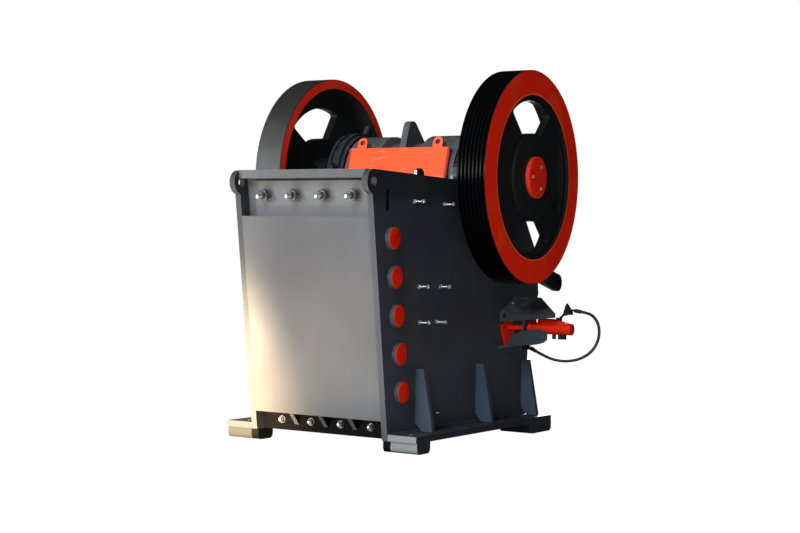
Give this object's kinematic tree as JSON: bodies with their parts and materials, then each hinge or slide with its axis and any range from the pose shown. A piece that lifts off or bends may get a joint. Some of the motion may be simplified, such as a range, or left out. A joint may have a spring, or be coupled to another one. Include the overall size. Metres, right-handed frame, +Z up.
{
  "type": "jaw crusher",
  "caption": "Jaw crusher: welded box frame, toothed fixed jaw, swing jaw on an eccentric shaft with spoked flywheels, and a toggle set by sliding wedges.",
  "frame": {"origin": "on the ground, midway between the four anchor holes in the foot flanges", "axes": "+X across the machine towards the grooved flywheel, +Y from the front wall to the rear, +Z up"},
  "size_m": [2.7248, 3.5366, 3.119],
  "materials": {
    "frame_paint": "satin grey machine paint, dusty",
    "black_paint": "satin black paint",
    "red_paint": "satin red paint",
    "orange_paint": "satin orange-red paint, scuffed",
    "jaw_steel": "rough cast manganese steel",
    "machined_steel": "machined steel, oiled",
    "hose_rubber": "black hydraulic hose, matt",
    "hose_fitting": "plated steel nuts and ferrules"
  },
  "bodies": {
    "frame": {"side_plate_right": "frame_paint", "side_plate_left": "frame_paint", "front_skin": "frame_paint", "front_top_beam": "frame_paint", "jaw_backing_plate": "frame_paint", "front_wall_ribs": "frame_paint", "lower_front_beam": "frame_paint", "tie_bosses_right": "red_paint", "tie_bosses_left": "red_paint", "base_flange_right": "frame_paint", "base_flange_left": "frame_paint", "base_gussets_right": "frame_paint", "base_gussets_left": "frame_paint", "base_pads_front": "frame_paint", "base_pads_rear": "frame_paint", "fixed_jaw_plate": "jaw_steel", "cheek_plates_right": "jaw_steel", "cheek_plates_left": "jaw_steel", "bearing_block_right": "frame_paint", "bearing_block_left": "frame_paint", "bearing_cap_right": "frame_paint", "bearing_cap_left": "frame_paint", "rear_wall": "frame_paint", "toggle_beam": "frame_paint", "rear_low_tie": "frame_paint", "wedge_hood_right": "frame_paint", "wedge_hood_left": "frame_paint", "cylinder_bracket_right": "frame_paint", "cylinder_bracket_left": "frame_paint", "cylinder_barrel_right": "red_paint", "cylinder_barrel_left": "red_paint", "cylinder_valves": "black_paint", "bracket_ports": "black_paint", "hose": "hose_rubber", "hose_ends": "hose_fitting"},
    "rotor": {"eccentric_shaft": "machined_steel", "flywheel_grooved": "black_paint", "flywheel_plain": "black_paint", "hub_cap_right": "red_paint", "hub_cap_left": "red_paint"},
    "swing_jaw": {"swing_jaw": "frame_paint", "jaw_front_wall": "frame_paint", "jaw_ribs": "frame_paint", "moving_jaw_plate": "jaw_steel", "jaw_guard_plate": "orange_paint"},
    "toggle": {"toggle_seat_block": "frame_paint", "toggle_plate": "jaw_steel"},
    "wedge_right": {"wedge_right": "red_paint", "wedge_rod_right": "red_paint"},
    "wedge_left": {"wedge_left": "red_paint", "wedge_rod_left": "red_paint"}
  },
  "joints": [
    {"name": "shaft_spin", "type": "hinge", "parent": "frame", "child": "rotor", "pos_m": [0, 0.33, 2.219], "axis": [1, 0, 0], "continuous": true},
    {"name": "jaw_swing", "type": "hinge", "parent": "rotor", "child": "swing_jaw", "pos_m": [0, 0.33, 2.203], "axis": [1, 0, 0], "continuous": true},
    {"name": "toggle_slide", "type": "slide", "parent": "frame", "child": "toggle", "axis": [0, 0.891, 0.454], "range_m": [0, 0.0176]},
    {"name": "wedge_right_slide", "type": "slide", "parent": "frame", "child": "wedge_right", "axis": [1, 0, 0], "range_m": [0, 0.1]},
    {"name": "wedge_left_slide", "type": "slide", "parent": "frame", "child": "wedge_left", "axis": [-1, 0, 0], "range_m": [0, 0.1]}
  ],
  "couplings": [
    {"joint": "jaw_swing", "follows": "shaft_spin", "ratio": -1},
    {"joint": "wedge_right_slide", "follows": "toggle_slide", "ratio": 5.6713},
    {"joint": "wedge_left_slide", "follows": "toggle_slide", "ratio": 5.6713}
  ]
}
